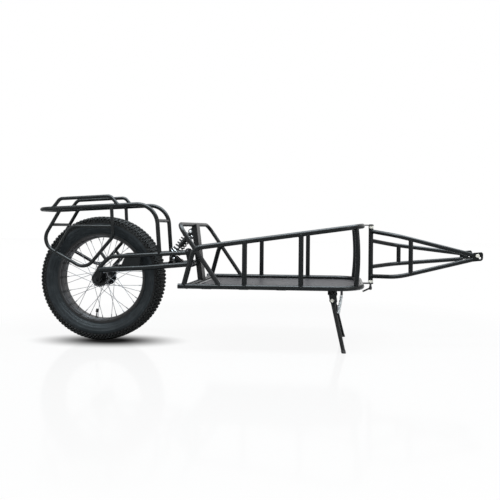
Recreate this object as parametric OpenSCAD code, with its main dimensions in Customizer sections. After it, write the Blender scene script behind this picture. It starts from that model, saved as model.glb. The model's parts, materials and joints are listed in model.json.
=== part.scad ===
// Single wheel touring trailer: a fat wheel in a sprung swingarm with a rack,
// a tubular cargo frame with a floor plate, a steering fork that clamps to a
// bicycle's rear axle, and a folding two-legged stand.
// Lengths along the trailer are named ..._s and run forward from the wheel
// axle, heights named ..._z run up from the ground, and the nearside is -Y.

/* [Wheel] */
// Outside diameter of the tyre
tyre_d = 586; // [560:1:610]
// Width of the tyre
tyre_w = 100; // [90:1:108]
// Thickness of the tyre's carcass
tyre_wall = 6; // [4:0.5:9]
// Diameter of the rim's bead seat
rim_seat_d = 406; // [400:1:412]
// Width of the rim over its flanges
rim_w = 66; // [56:1:74]
// Height of the rim's flanges above the bead seat
rim_flange_h = 9; // [7:0.5:11]
// Thickness of the rim's sheet
rim_wall = 3; // [2:0.5:4]
// Diameter of the hub's flanges
hub_flange_d = 78; // [68:1:86]
// Distance between the hub's flanges
hub_flange_gap = 96; // [84:1:104]
// Diameter of the hub's barrel
hub_barrel_d = 52; // [44:1:58]
// Spokes on each side of the wheel
spokes_per_side = 18; // [12:2:20]
// Diameter of a spoke
spoke_d = 2.3; // [1.8:0.1:2.8]
// Diameter of the wheel axle
axle_d = 12; // [10:0.5:15]
// Angle of the valve from straight down, rearward
valve_angle = 11.4; // [0:0.2:19]

/* [Swingarm] */
// Distance between the two arms, centre to centre
arm_gap = 174; // [168:1:182]
// Diameter of the lower arm tubes
lower_arm_d = 24; // [20:0.5:28]
// Diameter of the upper arm tubes
upper_arm_d = 19; // [16:0.5:22]
// Wall of the arm and rack tubes
arm_wall = 1.6; // [1.2:0.1:2.4]
// Distance of the swingarm pivot in front of the axle
pivot_s = 452; // [449:1:455]
// Height of the swingarm pivot
pivot_z = 371; // [366:1:376]
// Diameter of the pivot bolt
pivot_bolt_d = 12; // [10:0.5:14]
// Diameter of the arms' bosses at the pivot
boss_d = 28; // [26:1:32]
// Diameter of the frame's pivot tube
pivot_tube_d = 26; // [22:0.5:28]
// Thickness of the dropout plates
dropout_t = 8; // [6:0.5:10]

/* [Rack] */
// Diameter of the rack's rails
rack_rail_d = 19; // [16:0.5:20]
// Diameter of the rack's hoops and side loops
rack_rod_d = 16; // [12:0.5:17]
// Height of the rack's rails at their middle
rack_z = 632; // [624:1:640]
// Rise of the rack's rails towards the front, in degrees
rack_slope = 3.2; // [1:0.1:4]
// Distance of the rack's rear bar behind the axle
rack_rear = 287; // [283:1:300]

/* [Shock absorber] */
// Outside diameter of the spring
spring_d = 48; // [44:0.5:50]
// Diameter of the spring's wire
spring_wire = 6; // [5:0.5:7]
// Turns of the spring
spring_turns = 5.5; // [4.5:0.5:6.5]
// Diameter of the damper's body
damper_d = 23; // [18:0.5:25]
// Diameter of the damper's rod
damper_rod_d = 10; // [8:0.5:12]
// Diameter of the eyes' bolts
eye_bolt_d = 8; // [6:0.5:10]

/* [Cargo frame] */
// Distance between the frame's side rails, centre to centre
frame_w = 520; // [500:2:530]
// Diameter of the frame's rails
rail_d = 22; // [20:0.5:25]
// Wall of the frame's tubes
rail_wall = 2; // [1.2:0.1:2.4]
// Height of the lower rails' centre
deck_z = 287; // [282:1:292]
// Distance of the frame's front bar in front of the axle
front_s = 1224; // [1218:1:1230]
// Radius of the frame's front corners
corner_r = 120; // [100:1:130]
// Distance of the upper rail's rear bend in front of the axle
upper_back_s = 504; // [502:1:506]
// Height of the upper rail at its rear bend
upper_back_z = 450; // [448:1:452]
// Rise of the upper rail towards the front, in degrees
upper_slope = 8; // [7.8:0.1:8.4]
// Diameter of the side posts
post_d = 21.5; // [19:0.5:21.5]
// Diameter of the rear hoop's tube
hoop_d = 19; // [17:0.5:20]
// Thickness of the floor plate
floor_t = 3; // [2:0.5:4]
// Width of the tower, side to side
tower_w = 56; // [50:1:60]
// Depth of the tower, front to back
tower_t = 24; // [20:1:26]

/* [Hitch fork] */
// Distance of the steering axis in front of the axle
head_s = 1270; // [1266:1:1274]
// Diameter of the head tube
head_d = 22; // [20:0.5:26]
// Diameter of the steering pin
steer_pin_d = 10; // [8:0.5:12]
// Thickness of the steering lugs
lug_t = 5; // [4:0.5:7]
// Diameter of the fork's tubes
fork_d = 19; // [17:0.5:20]
// Distance between the fork's arms, centre to centre
fork_gap = 200; // [180:2:220]
// Distance of the bicycle axle's hole in front of the wheel axle
hitch_s = 1743; // [1740:1:1746]
// Height of the bicycle axle's hole
hitch_z = 415; // [413:1:417]
// Diameter of the bicycle axle's hole
hitch_hole_d = 10; // [8:0.5:11]
// Thickness of the hitch plates
hitch_t = 6; // [5:0.5:8]

/* [Stand] */
// Distance of the stand's pivot in front of the axle
stand_s = 1094; // [1090:1:1098]
// Height of the stand's pivot
stand_z = 220; // [216:1:224]
// Distance between the stand's brackets
stand_gap = 252; // [240:2:260]
// Diameter of the stand's legs
leg_d = 18; // [16:0.5:20]
// Distance of the feet in front of the stand's pivot
foot_reach = 53; // [45:1:60]
// Distance between the feet
foot_gap = 366; // [350:2:376]

/* [Fits] */
// Radial clearance of a running fit
run_fit = 0.05; // [0.02:0.01:0.1]
// Gap between faces that turn past each other
face_gap = 0.3; // [0.2:0.05:0.5]
// Radial clearance at the shock's open lower eye
eye_gap = 0.6; // [0.4:0.1:1]

/* [Hidden] */
$fn = 48;

// Joints of a bent tube, round pieces and plates
lip = 0.05;
lap = 0.5;
weld_gap = 0.1;
nut_h = 7;
washer_t = 1.5;
bearing_d = 28;
bearing_w = 8;
hub_end_y = 66;
spoke_ring_r = hub_flange_d / 2 - 5;
flange_t = 4;
flange_y = hub_flange_gap / 2;
nipple_d = 4.4;
nipple_l = 13;
valve_d = 6;
arm_y = arm_gap / 2;
axle_z = tyre_d / 2;
rail_y = frame_w / 2;
fork_y = fork_gap / 2;
boss_w = 24;
boss_in = arm_y - boss_w / 2;
bush_wall = 3;
dropout_r = 20;
arm_bend_s = 216;
arm_bend_z = 349;
arm_low_end = [14, 338];
upper_front = [434, 421.3];
upper_bend = [61, 398.5];
upper_end = [12, 345];
bridge_s = 350;
bridge_z = 371;
bridge_d = 26;
arm_head = [434, 429];
arm_head_d = 27;
cross_s = 414;
cross_z = 420;
cross_d = 16;
gusset_t = 6;
front_gusset = [[421.5, 418], [443, 424], [458, 380], [452, 371], [430, 369], [428.4, 387]];
rear_gusset = [[134, 396], [210, 401], [205, 352], [119, 347], [120.5, 365.6]];

// Shock absorber: the eyes' places and the pieces along it
shock_up = [424, 519];
shock_low = [334, 402];
eye_d = 19;
eye_w = 24;
bolt_head_d = 14;
seat_d = spring_d + 5;
seat_up_t = 5;
seat_low_t = 13;
seat_up_at = 26;
seat_low_at = 21;
bracket_t = 5;
bracket_edge = [[322, 372], [322, 400], [352, 402], [386, 372]];
bracket_bolt = [345, 391];

// Rack
rack_post_s = 298;
rack_corner_s = 280;
rack_front_r = 96;
rack_rear_r = 60;
loop_top_rear = -172;
loop_top_front = 69;
loop_rear_knee = [-268.5, 457.5];
loop_low_knee = [-51.6, 337.5];
loop_front_knee = [77, 491];
loop_rear_r = 65;
loop_low_r = 60;
loop_front_r = 40;
inner_rail_d = 15;
inner_rail_z = 538;
inner_rail_knee = -124;
inner_rail_foot = [-195, 417];
hoop_feet = [-213, 101];
hoop_knees = [[-177, 666], [64, 680]];
hoop_bend_r = 28;
rear_tie_z = 545;
front_tie_z = 568;
strut_d = 14;
strut_top = [18, 421];
strut_foot = [45, 386];

// Cargo frame
rail_back_s = 440;
crossbar_s = 474;
leg_foot_s = 461;
leg_bend_r = 50;
post_s = [723, 963];
front_post_d = 20;
front_post_turn = 40;
front_post_bow = 6;
front_post_r = 1000;
hoop_foot_s = 619;
hoop_top_s = 437;
hoop_top_z = 551;
hoop_corner_r = 45;
tower_foot = [475, 290];
tower_top = [442, 552];
tower_wall = 2.5;
floor_back_s = 490;
floor_inset = 11.5;
floor_top_z = deck_z - 6;
strap_s = [560, 720, 880];
strap_w = 40;
strap_t = 3;
stand_bar_w = 34;
stand_bar_h = 18;
plug_t = 3;

// Hitch fork
lug_top_z = 556;
lug_low_z = 286.5;
lug_r = 13;
bushing_flange_t = 12;
bushing_d = 23;
bushing_wall = 2.5;
pin_head_t = 2;
pin_head_d = 16;
fork_knee_s = 1385;
fork_end_s = 1712;
fork_bend_r = 120;
near_up = [528.5, 508.5, 428];
near_low = [319.5, 326, 408];
far_up = [485, 463, 425];
far_low = [363, 372, 400];
brace_near_s = 1441;
brace_d = 20;
brace_far_s = 1409;
tip_back_s = 1699;
tip_high_z = 441;
tip_low_z = 397;
tip_lean = 3;
tip_front_r = 13;
stop_bolt = [1732, 424.5];
stop_bolt_d = 8;
stop_head_d = 16;
stop_head_t = 5;
lever_z = 271;
lever_h = 13;
lever_hub_d = 14;
lever_d = 8;
lever_l = 36;
lever_drop = 17;

// Stand
bracket_plate_t = 5;
bracket_top_w = 34;
bracket_round_r = 12;
shaft_d = 20;
stand_bolt_d = 8;
foot_h = 10;
leg_inset = 14;
hook_s = 1136;
hook_y = 120;
hook_pin_d = 11;
hook_pin_low = 243;
coil_d = 12;
coil_wire = 1.7;
coil_turns = 30;
leg_hook_drop = 60;

rack_rear_s = -rack_rear - rack_rail_d / 2;
tip_front_s = hitch_s + tip_front_r;
mid_s = (tip_front_s + rack_rear_s) / 2;

// Places: forward of the axle, sideways and up
function pt(s, y, z) = [s - mid_s, y, z];
function at2(q) = [q.x - mid_s, q.y];
function unit(v) = v / norm(v);
function turn_at(p, i) = acos(min(1, unit(p[i] - p[i - 1]) * unit(p[i + 1] - p[i])));
function trim_at(p, r, i) = r[i - 1] * tan(turn_at(p, i) / 2);
function upper_z(s) = upper_back_z + (s - upper_back_s) * tan(upper_slope);
function rack_rail_z(s) = rack_z + s * tan(rack_slope);
function mix(a, b, t) = a + (b - a) * t;

module aim(v) {
    rotate([0, acos(v.z / norm(v)), atan2(v.y, v.x)]) children();
}

module rod(a, b, d) {
    translate(a) aim(b - a) cylinder(h = norm(b - a), d = d);
}

// A round bend of radius r at b, between the stretches a-b and b-c
module bend(a, b, c, r, d) {
    u = unit(b - a);
    v = unit(c - b);
    turn = acos(u * v);
    n = unit(v - (u * v) * u);
    o = b - r * tan(turn / 2) * u + r * n;
    w = cross(u, n);
    multmatrix([[-n.x, u.x, w.x, o.x], [-n.y, u.y, w.y, o.y], [-n.z, u.z, w.z, o.z], [0, 0, 0, 1]])
        rotate_extrude(angle = turn, $fn = 96) translate([r, 0]) circle(d = d + 2 * lip, $fn = 48);
}

// A bar along the points p, with a bend of radius r[i - 1] at p[i]: the straight
// stretches reach a little into the bends, which are a hair thicker
module bar(p, r, d, more = 0) {
    last = len(p) - 1;
    for (i = [0:last - 1]) {
        u = unit(p[i + 1] - p[i]);
        a = i == 0 ? p[0] - u * more : p[i] + u * (trim_at(p, r, i) - lap);
        b = i == last - 1 ? p[last] + u * more : p[i + 1] - u * (trim_at(p, r, i + 1) - lap);
        rod(a, b, d);
    }
    for (i = [1:1:last - 1]) bend(p[i - 1], p[i], p[i + 1], r[i - 1], d);
}

module tube(p, r, d, wall) {
    difference() {
        bar(p, r, d);
        bar(p, r, d - 2 * wall, 1);
    }
}

// A flat link between two circles
module link2d(a, ra, b, rb) {
    lean = atan2(b.y - a.y, b.x - a.x);
    side = acos((ra - rb) / norm(b - a));
    translate(a) circle(r = ra);
    translate(b) circle(r = rb);
    polygon([
        a + ra * [cos(lean + side), sin(lean + side)],
        a + ra * [cos(lean - side), sin(lean - side)],
        b + rb * [cos(lean - side), sin(lean - side)],
        b + rb * [cos(lean + side), sin(lean + side)]]);
}

// A plate in the side view, centred at y
module side_plate(y, t) {
    translate([0, y + t / 2, 0]) rotate([90, 0, 0]) linear_extrude(height = t) children();
}

// A round piece across the trailer, from y0 to y1
module pin(q, d, y0, y1) {
    translate([q.x - mid_s, y1, q.y]) rotate([90, 0, 0]) cylinder(h = y1 - y0, d = d);
}

module hex(q, across, y0, y1) {
    translate([q.x - mid_s, y1, q.y]) rotate([90, 0, 0]) cylinder(h = y1 - y0, d = across / cos(30), $fn = 6);
}

module both_sides() {
    children();
    mirror([0, 1, 0]) children();
}

module at_wheel() {
    translate(pt(0, 0, axle_z)) rotate([90, 0, 0]) children();
}

// A coil from a to b: a tube of 6 sides with 8 rings a turn and straight ends
module coil(a, b, radius, wire, turns) {
    pts = coil_points(radius, wire, turns, norm(b - a));
    n = len(pts);
    ring = [for (i = [0:n - 1])
        let (t = unit(pts[min(i + 1, n - 1)] - pts[max(i - 1, 0)]),
            out = unit([pts[i].x, pts[i].y, 0.001]),
            p = unit(out - (out * t) * t), q = cross(t, p))
        for (k = [0:5]) pts[i] + wire / 2 * (p * cos(k * 60) + q * sin(k * 60))];
    skin = [for (i = [0:n - 2], k = [0:5])
        let (a0 = i * 6 + k, a1 = i * 6 + (k + 1) % 6)
        each [[a0, a0 + 6, a1], [a1, a0 + 6, a1 + 6]]];
    caps = [for (k = [1:4]) each [[0, k, k + 1], [(n - 1) * 6, (n - 1) * 6 + k + 1, (n - 1) * 6 + k]]];
    translate(a) aim(b - a) polyhedron(points = ring, faces = concat(skin, caps));
}

// The coil's middle line: its turns, with an end that runs straight down or up for one wire
function coil_points(radius, wire, turns, length) =
    let (rings = turns * 8, low = wire * 1.1, high = length - wire * 1.1)
    concat(
        [[radius, 0, 0]],
        [for (i = [0:rings]) [radius * cos(i * 45), radius * sin(i * 45), mix(low, high, i / rings)]],
        [[radius * cos(rings * 45), radius * sin(rings * 45), length]]);

// Least gap between turns, measured from point to point, half a turn or more apart
function coil_gap(pts, wire) =
    min([for (i = [0:len(pts) - 9], j = [i + 5:min(len(pts) - 1, i + 12)]) norm(pts[i] - pts[j])]) - wire;

// One side of the tyre's outline: a square shoulder above its waist, and a side
// that draws in to the bead below it
function tyre_side(waist, rise, fall, half_w, bead_y, angles) = [for (a = angles) a > 0
    ? [waist + rise * sqrt(sin(a)), half_w * pow(cos(a), 0.4)]
    : [waist + fall * sin(a), half_w - (half_w - bead_y) * pow(-sin(a), 1.6)]];

// Wheel
module tyre() {
    bead_y = rim_w / 2 - rim_wall - 0.3;
    bead_r = rim_seat_d / 2 + 0.2;
    lip_r = rim_seat_d / 2 + rim_flange_h;
    waist_r = (tyre_d / 2 + lip_r) / 2;
    outer = tyre_side(waist_r, tyre_d / 2 - waist_r, waist_r - lip_r, tyre_w / 2, bead_y, [90:-10:-60]);
    inner = tyre_side(waist_r, tyre_d / 2 - waist_r - tyre_wall - 4, waist_r - lip_r,
        tyre_w / 2 - tyre_wall, bead_y - tyre_wall, [-40:10:90]);
    half = concat(outer, [[lip_r, bead_y], [bead_r, bead_y], [bead_r, bead_y - tyre_wall]], inner);
    last = len(half) - 1;
    color([0.09, 0.1, 0.11]) at_wheel() rotate_extrude($fn = 144)
        polygon(concat(half, [for (i = [last - 1:-1:1]) [half[i].x, -half[i].y]]));
}

module rim() {
    seat = rim_seat_d / 2;
    lip = seat + rim_flange_h;
    edge = rim_w / 2;
    well = seat - 7;
    color([0.16, 0.14, 0.14]) difference() {
        at_wheel() rotate_extrude($fn = 144) polygon([
            [lip, edge], [lip, edge - rim_wall], [seat, edge - rim_wall], [seat, edge - 14],
            [well, edge - 20], [well, 20 - edge], [seat, 14 - edge], [seat, rim_wall - edge],
            [lip, rim_wall - edge], [lip, -edge], [seat - rim_wall, -edge],
            [seat - rim_wall, 13 - edge], [well - rim_wall, 18 - edge],
            [well - rim_wall, edge - 18], [seat - rim_wall, edge - 13], [seat - rim_wall, edge]]);
        valve_line(well - 20, well + 20, valve_d + 1);
    }
}

module valve_line(r0, r1, d) {
    dir = [-sin(valve_angle), 0, -cos(valve_angle)];
    rod(pt(0, 0, axle_z) + dir * r0, pt(0, 0, axle_z) + dir * r1, d);
}

module valve() {
    well = rim_seat_d / 2 - 7;
    color([0.05, 0.05, 0.05]) {
        valve_line(well - 34, well - 3.2, valve_d);
        valve_line(well - 42, well - 34, valve_d + 2);
        valve_line(well - 3.2, well + 4, valve_d + 0.8);
        valve_line(well + 0.1, well + 4, valve_d + 8);
    }
}

// A spoke's end at the hub and at the rim, in the wheel's own frame (radius plane, sideways)
function ring_pt(r, a, y) = [r * cos(a), y, r * sin(a)];
function spoke_hub(k, side) = ring_pt(spoke_ring_r,
    k * 360 / spokes_per_side + (side > 0 ? 0 : 180 / spokes_per_side),
    side * (flange_y + (k % 2 == 0 ? 1 : -1) * (flange_t / 2 + spoke_d / 2 + 0.1)));
function spoke_rim(k, side) = ring_pt(rim_seat_d / 2 - 10.75,
    (k + (k % 2 == 0 ? 3 : -3)) * 360 / spokes_per_side + (side > 0 ? 0 : 180 / spokes_per_side), side * 9);

module each_spoke() {
    for (side = [-1, 1], k = [0:spokes_per_side - 1]) {
        $hub = pt(0, 0, axle_z) + spoke_hub(k, side);
        $rim = pt(0, 0, axle_z) + spoke_rim(k, side);
        $across = [0, side * (k % 2 == 0 ? -1 : 1), 0];
        children();
    }
}

module spokes() {
    color([0.35, 0.36, 0.38]) each_spoke() {
        rod($hub, mix($hub, $rim, 0.965), spoke_d, $fn = 16);
        rod($hub - $across * 1.5, $hub + $across * (flange_t + spoke_d + 1.2), spoke_d + 0.5, $fn = 16);
    }
}

module nipples() {
    color([0.08, 0.08, 0.08]) each_spoke()
        rod($rim - unit($rim - $hub) * nipple_l, $rim, nipple_d, $fn = 16);
}

module hub_shell() {
    barrel = hub_barrel_d / 2;
    flange = hub_flange_d / 2;
    half = [[barrel, flange_y - flange_t / 2 - 6], [flange - 8, flange_y - flange_t / 2],
        [flange, flange_y - flange_t / 2], [flange, flange_y + flange_t / 2],
        [barrel - 4, flange_y + flange_t / 2], [bearing_d / 2 + 4, hub_end_y], [bearing_d / 2, hub_end_y],
        [bearing_d / 2, hub_end_y - bearing_w], [axle_d / 2 + 2, hub_end_y - bearing_w]];
    last = len(half) - 1;
    color([0.06, 0.06, 0.065]) at_wheel() rotate_extrude($fn = 72)
        polygon(concat(half, [for (i = [last:-1:0]) [half[i].x, -half[i].y]]));
}

module hub_bearings() {
    color("silver") both_sides() difference() {
        pin([0, axle_z], bearing_d, hub_end_y - bearing_w, hub_end_y);
        pin([0, axle_z], axle_d + 2 * run_fit, hub_end_y - bearing_w - 1, hub_end_y + 1);
    }
}

module axle() {
    drop_in = arm_y - dropout_t / 2;
    color([0.3, 0.3, 0.3]) {
        pin([0, axle_z], axle_d, -drop_in - dropout_t - nut_h - 6, drop_in + dropout_t + nut_h + 6);
        both_sides() pin([0, axle_z], axle_d + 8, hub_end_y + face_gap, drop_in);
    }
}

module axle_nuts() {
    drop_out = arm_y + dropout_t / 2;
    color([0.1, 0.1, 0.1]) both_sides() difference() {
        union() {
            pin([0, axle_z], 26, drop_out, drop_out + washer_t);
            hex([0, axle_z], 19, drop_out + washer_t, drop_out + washer_t + nut_h);
        }
        pin([0, axle_z], axle_d, drop_out - 1, drop_out + washer_t + nut_h + 1);
    }
}

// Swingarm
module dropouts() {
    color([0.05, 0.05, 0.055]) both_sides() difference() {
        side_plate(-arm_y, dropout_t) {
            link2d(at2([0, axle_z]), dropout_r, at2(arm_low_end), lower_arm_d / 2 - 2);
            link2d(at2([0, axle_z]), dropout_r - 3, at2(upper_end), upper_arm_d / 2 - 2);
        }
        pin([0, axle_z], axle_d, -arm_y - dropout_t, -arm_y + dropout_t);
        lower_arm_bar(-arm_y);
        upper_arm_bar(-arm_y);
    }
}

function lower_arm_path(y) = [pt(arm_low_end.x, y, arm_low_end.y), pt(arm_bend_s, y, arm_bend_z),
    pt(pivot_s, y, pivot_z)];
function upper_arm_path(y) = [pt(upper_end.x, y, upper_end.y), pt(upper_bend.x, y, upper_bend.y),
    pt(upper_front.x, y, upper_front.y)];

module lower_arm_bar(y) {
    bar(lower_arm_path(y), [500], lower_arm_d);
}

module upper_arm_bar(y) {
    bar(upper_arm_path(y), [60], upper_arm_d);
}

module lower_arms() {
    color([0.06, 0.065, 0.07]) both_sides() difference() {
        tube(lower_arm_path(-arm_y), [500], lower_arm_d, arm_wall);
        pin([pivot_s, pivot_z], boss_d, -arm_y - boss_w, -arm_y + boss_w);
        bridge_bar();
    }
}

module upper_arms() {
    low = lower_arm_path(-arm_y);
    color([0.06, 0.065, 0.07]) both_sides() difference() {
        tube(upper_arm_path(-arm_y), [60], upper_arm_d, arm_wall);
        rod(low[0] - unit(low[1] - low[0]) * lower_arm_d, low[1], lower_arm_d + 2 * weld_gap);
        arm_head_pin();
    }
}

module arm_bosses() {
    color([0.06, 0.065, 0.07]) both_sides() difference() {
        pin([pivot_s, pivot_z], boss_d, boss_in, boss_in + boss_w);
        pin([pivot_s, pivot_z], pivot_bolt_d + 2 * bush_wall, boss_in - 1, boss_in + boss_w + 1);
    }
}

module arm_bushes() {
    color([0.55, 0.5, 0.35]) both_sides() difference() {
        pin([pivot_s, pivot_z], pivot_bolt_d + 2 * bush_wall, boss_in, boss_in + boss_w);
        pin([pivot_s, pivot_z], pivot_bolt_d + 2 * run_fit, boss_in - 1, boss_in + boss_w + 1);
    }
}

module arm_gussets() {
    color([0.06, 0.065, 0.07]) both_sides() for (edge = [front_gusset, rear_gusset]) difference() {
        side_plate(-arm_y, gusset_t) polygon([for (q = edge) at2(q)]);
        lower_arm_bar(-arm_y);
        upper_arm_bar(-arm_y);
        arm_head_pin();
        pin([pivot_s, pivot_z], boss_d, -arm_y - boss_w, -arm_y + boss_w);
    }
}

module arm_head_pin() {
    pin(arm_head, arm_head_d, -arm_y - upper_arm_d / 2 - 1, -arm_y + upper_arm_d / 2 + 1);
}

module arm_heads() {
    color([0.06, 0.065, 0.07]) both_sides() arm_head_pin();
}

module bridge_bar() {
    pin([bridge_s, bridge_z], bridge_d, -arm_y, arm_y);
}

module cross_bar() {
    pin([cross_s, cross_z], cross_d, -arm_y, arm_y);
}

module arm_bridge() {
    color([0.06, 0.065, 0.07]) difference() {
        bridge_bar();
        pin([bridge_s, bridge_z], bridge_d - 2 * arm_wall, -arm_y - 1, arm_y + 1);
        both_sides() pin([bridge_s, bridge_z], bridge_d + 1, -arm_y - 1, -arm_y + 2);
    }
}

module arm_cross_tube() {
    color([0.06, 0.065, 0.07]) difference() {
        cross_bar();
        pin([cross_s, cross_z], cross_d - 2 * arm_wall, -arm_y - 1, arm_y + 1);
        both_sides() upper_arm_bar(-arm_y);
    }
}

module shock_lower_bracket() {
    in_y = eye_w / 2 + face_gap;
    color([0.06, 0.065, 0.07]) both_sides() difference() {
        side_plate(-in_y - bracket_t / 2, bracket_t) {
            polygon([for (q = bracket_edge) at2(q)]);
            translate(at2(shock_low)) circle(d = eye_d);
        }
        bridge_bar();
        for (q = [shock_low, bracket_bolt]) pin(q, eye_bolt_d, -60, 60);
    }
}

module cross_bolt(q, reach, head_d, head_t) {
    pin(q, eye_bolt_d, -reach - head_t, reach + head_t);
    both_sides() pin(q, head_d, -reach - head_t, -reach);
}

module shock_lower_bolt() {
    color([0.75, 0.75, 0.72]) for (q = [shock_low, bracket_bolt])
        cross_bolt(q, eye_w / 2 + face_gap + bracket_t, bolt_head_d, 4);
}

// Rack
function rack_rail_path(y) = [pt(rack_post_s, y, 414), pt(rack_corner_s, y, rack_rail_z(rack_corner_s)),
    pt(-rack_rear, y, rack_rail_z(-rack_rear))];

module rack_rail_bar() {
    p = concat(rack_rail_path(-arm_y), [for (i = [2:-1:0]) rack_rail_path(arm_y)[i]]);
    bar(p, [rack_front_r, rack_rear_r, rack_rear_r, rack_front_r], rack_rail_d);
}

module rack_rails() {
    p = concat(rack_rail_path(-arm_y), [for (i = [2:-1:0]) rack_rail_path(arm_y)[i]]);
    color([0.06, 0.065, 0.07]) difference() {
        tube(p, [rack_front_r, rack_rear_r, rack_rear_r, rack_front_r], rack_rail_d, arm_wall);
        for (y = [-arm_y, arm_y]) upper_arm_bar(y);
    }
}

module rack_straight(y) {
    rod(pt(-rack_rear + rack_rear_r, y, rack_rail_z(-rack_rear + rack_rear_r)),
        pt(rack_corner_s - rack_front_r, y, rack_rail_z(rack_corner_s - rack_front_r)), rack_rail_d);
}

module rack_hoops() {
    color([0.06, 0.065, 0.07]) both_sides() difference() {
        tube([pt(hoop_feet[0], -arm_y, rack_rail_z(hoop_feet[0])),
            pt(hoop_knees[0].x, -arm_y, hoop_knees[0].y), pt(hoop_knees[1].x, -arm_y, hoop_knees[1].y),
            pt(hoop_feet[1], -arm_y, rack_rail_z(hoop_feet[1]))],
            [hoop_bend_r, hoop_bend_r], rack_rod_d, arm_wall);
        rack_straight(-arm_y);
    }
}

function loop_path(y) = [pt(loop_top_rear, y, rack_rail_z(loop_top_rear)),
    pt(loop_rear_knee.x, y, loop_rear_knee.y), pt(loop_low_knee.x, y, loop_low_knee.y),
    pt(loop_front_knee.x, y, loop_front_knee.y), pt(loop_top_front, y, rack_rail_z(loop_top_front))];

module loop_bar(y) {
    bar(loop_path(y), [loop_rear_r, loop_low_r, loop_front_r], rack_rod_d);
}

module pannier_loops() {
    color([0.06, 0.065, 0.07]) both_sides() difference() {
        tube(loop_path(-arm_y), [loop_rear_r, loop_low_r, loop_front_r], rack_rod_d, arm_wall);
        rack_straight(-arm_y);
    }
}

module rack_inner_rails() {
    color([0.06, 0.065, 0.07]) both_sides() difference() {
        tube([pt(74.5, -arm_y, inner_rail_z), pt(inner_rail_knee, -arm_y, inner_rail_z),
            pt(inner_rail_foot.x, -arm_y, inner_rail_foot.y)], [50], inner_rail_d, arm_wall);
        rod(loop_path(-arm_y)[3], loop_path(-arm_y)[4], rack_rod_d);
        rod(loop_path(-arm_y)[1], loop_path(-arm_y)[2], rack_rod_d);
    }
}

// Sideways place of the rear down tube at a height
function down_tube_s(z) = loop_top_rear + (loop_rear_knee.x - loop_top_rear)
    * (rack_rail_z(loop_top_rear) - z) / (rack_rail_z(loop_top_rear) - loop_rear_knee.y);
function front_post_s(z) = rack_post_s + (rack_corner_s - rack_post_s)
    * (z - 414) / (rack_rail_z(rack_corner_s) - 414);

module rack_ties() {
    rear = [down_tube_s(rear_tie_z), rear_tie_z];
    front = [front_post_s(front_tie_z) - 3.5, front_tie_z];
    color([0.06, 0.065, 0.07]) difference() {
        union() {
            pin(rear, rack_rod_d - 2, -arm_y, arm_y);
            pin(front, rack_rod_d, -arm_y, arm_y);
        }
        pin(rear, rack_rod_d - 2 - 2 * arm_wall, -arm_y - 1, arm_y + 1);
        pin(front, rack_rod_d - 2 * arm_wall, -arm_y - 1, arm_y + 1);
        for (y = [-arm_y, arm_y]) loop_bar(y);
        rack_rail_bar();
    }
}

module rack_struts() {
    color([0.06, 0.065, 0.07]) both_sides() difference() {
        rod(pt(strut_top.x, -arm_y, strut_top.y), pt(strut_foot.x, -arm_y, strut_foot.y), strut_d);
        loop_bar(-arm_y);
        upper_arm_bar(-arm_y);
    }
}

// Shock absorber
shock_dir = unit([shock_low.x - shock_up.x, 0, shock_low.y - shock_up.y]);
shock_len = norm(shock_low - shock_up);
function along_shock(t) = pt(shock_up.x, 0, shock_up.y) + shock_dir * t;

module shock_body() {
    color([0.12, 0.12, 0.13]) difference() {
        union() {
            pin(shock_up, eye_d, -eye_w / 2, eye_w / 2);
            rod(along_shock(0), along_shock(seat_up_at), eye_d - 2);
            rod(along_shock(seat_up_at - seat_up_t), along_shock(seat_up_at), seat_d);
            rod(along_shock(seat_up_at), along_shock(88), damper_d);
        }
        pin(shock_up, eye_bolt_d + 2 * run_fit, -eye_w, eye_w);
        rod(along_shock(40), along_shock(90), damper_rod_d + 2 * run_fit);
    }
}

module shock_rod() {
    low = shock_len - seat_low_at;
    color([0.75, 0.76, 0.78]) difference() {
        union() {
            pin(shock_low, eye_d, -eye_w / 2, eye_w / 2);
            rod(along_shock(shock_len), along_shock(low), eye_d - 2);
            rod(along_shock(low - seat_low_t), along_shock(low), seat_d);
            rod(along_shock(66), along_shock(low - seat_low_t + 1), damper_rod_d);
        }
        pin(shock_low, eye_bolt_d + 2 * eye_gap, -eye_w, eye_w);
    }
}

module shock_spring() {
    a = along_shock(seat_up_at + 0.3);
    b = along_shock(shock_len - seat_low_at - seat_low_t - 0.3);
    pts = coil_points((spring_d - spring_wire) / 2, spring_wire, spring_turns, norm(b - a));
    echo("shock spring, least gap to itself", coil_gap(pts, spring_wire));
    color([0.05, 0.05, 0.05]) coil(a, b, (spring_d - spring_wire) / 2, spring_wire, spring_turns);
}

module shock_upper_bracket() {
    in_y = eye_w / 2 + face_gap;
    color([0.06, 0.065, 0.07]) both_sides() difference() {
        side_plate(-in_y - bracket_t / 2, bracket_t) {
            link2d(at2(shock_up), 12, at2([444, 534]), 9);
            link2d(at2(shock_up), 12, at2([452, 492]), 6);
        }
        tower_box();
        pin(shock_up, eye_bolt_d, -60, 60);
    }
}

module shock_upper_bolt() {
    color([0.75, 0.75, 0.72]) cross_bolt(shock_up, eye_w / 2 + face_gap + bracket_t, bolt_head_d, 5);
}

// Cargo frame
lower_path = [pt(rail_back_s, -rail_y, deck_z), pt(front_s, -rail_y, deck_z),
    pt(front_s, rail_y, deck_z), pt(rail_back_s, rail_y, deck_z)];
upper_half = [[leg_foot_s, deck_z], [upper_back_s, upper_back_z], [front_s, upper_z(front_s)]];
upper_path = concat([for (q = upper_half) pt(q.x, -rail_y, q.y)],
    [for (i = [2:-1:0]) pt(upper_half[i].x, rail_y, upper_half[i].y)]);
upper_bends = [leg_bend_r, corner_r, corner_r, leg_bend_r];
hoop_path = [pt(hoop_foot_s, -rail_y, deck_z), pt(hoop_top_s, -rail_y, hoop_top_z),
    pt(hoop_top_s, rail_y, hoop_top_z), pt(hoop_foot_s, rail_y, deck_z)];

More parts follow.
